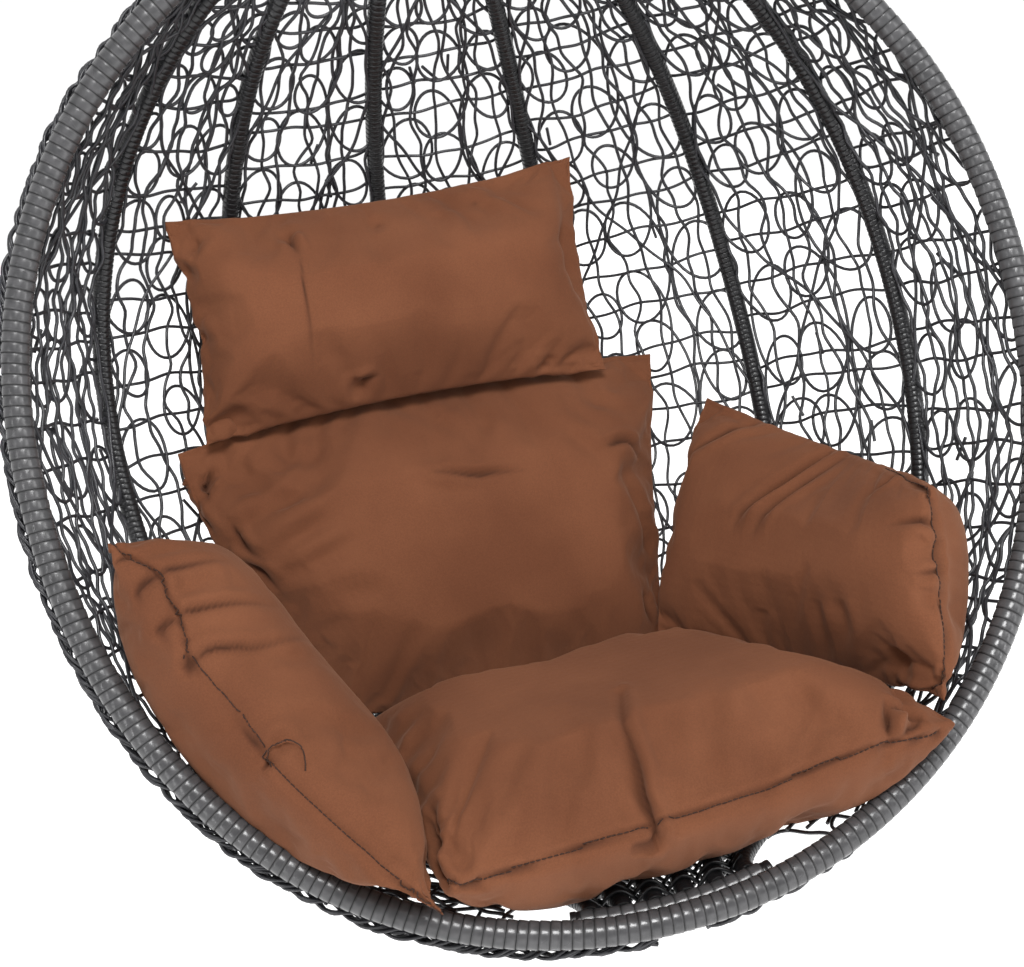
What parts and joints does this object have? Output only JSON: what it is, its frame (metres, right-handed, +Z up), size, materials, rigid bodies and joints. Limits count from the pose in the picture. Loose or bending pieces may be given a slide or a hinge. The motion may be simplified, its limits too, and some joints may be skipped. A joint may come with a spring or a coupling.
{
  "type": "hanging chair",
  "caption": "Egg-shaped hanging basket chair of wrapped tubes and looping cane weave, with loose brown cushions on a swivel, snap hook and loop.",
  "frame": {"origin": "centre of the upper eye's hole, where the chair is hung", "axes": "+Z up along the hanger, the basket's opening faces -Y, +X to the right as seen from the front"},
  "size_m": [1.0668, 0.6968, 1.3358],
  "materials": {
    "hanger_steel": "satin",
    "dark_steel": "satin",
    "washer_brass": "satin",
    "coated_steel": "satin",
    "wrapped_tube": "satin",
    "round_cane": "satin",
    "cushion_cloth": "matte"
  },
  "bodies": {
    "upper_eye": {"swivel_eye": "hanger_steel", "lock_nut": "dark_steel", "thrust_washer": "washer_brass"},
    "swivel": {"swivel_barrel": "hanger_steel", "swivel_base": "hanger_steel"},
    "hook": {"hook_body": "hanger_steel", "gate_pin": "dark_steel", "gate_spring": "dark_steel"},
    "gate": {"hook_gate": "hanger_steel"},
    "basket": {"hanging_loop": "coated_steel", "crown_cap": "coated_steel", "front_hoop": "wrapped_tube", "base_bar": "wrapped_tube", "rib_1": "wrapped_tube", "rib_2": "wrapped_tube", "rib_3": "wrapped_tube", "rib_4": "wrapped_tube", "rib_5": "wrapped_tube", "rib_6": "wrapped_tube", "weave_1": "round_cane", "weave_2": "round_cane", "weave_3": "round_cane", "weave_4": "round_cane", "weave_5": "round_cane", "weave_6": "round_cane", "weave_7": "round_cane", "headrest_cushion": "cushion_cloth", "back_cushion": "cushion_cloth", "seat_cushion": "cushion_cloth", "arm_cushion_left": "cushion_cloth", "arm_cushion_right": "cushion_cloth"}
  },
  "joints": [
    {"name": "swivel_turn", "type": "hinge", "parent": "upper_eye", "child": "swivel", "pos_m": [0, 0, -0.044], "axis": [0, 0, 1], "continuous": true},
    {"name": "front_swing", "type": "hinge", "parent": "swivel", "child": "hook", "pos_m": [0, 0, -0.087], "axis": [1, 0, 0], "range_deg": [-25, 25]},
    {"name": "side_swing", "type": "hinge", "parent": "hook", "child": "basket", "pos_m": [0, 0, -0.1502], "axis": [0, 1, 0], "range_deg": [-20, 20]},
    {"name": "gate_pivot", "type": "hinge", "parent": "hook", "child": "gate", "pos_m": [0, -0.014, -0.1322], "axis": [-1, 0, 0], "range_deg": [0, 25], "stiffness_Nm_per_rad": 0.05, "springref_deg": -17.19}
  ]
}
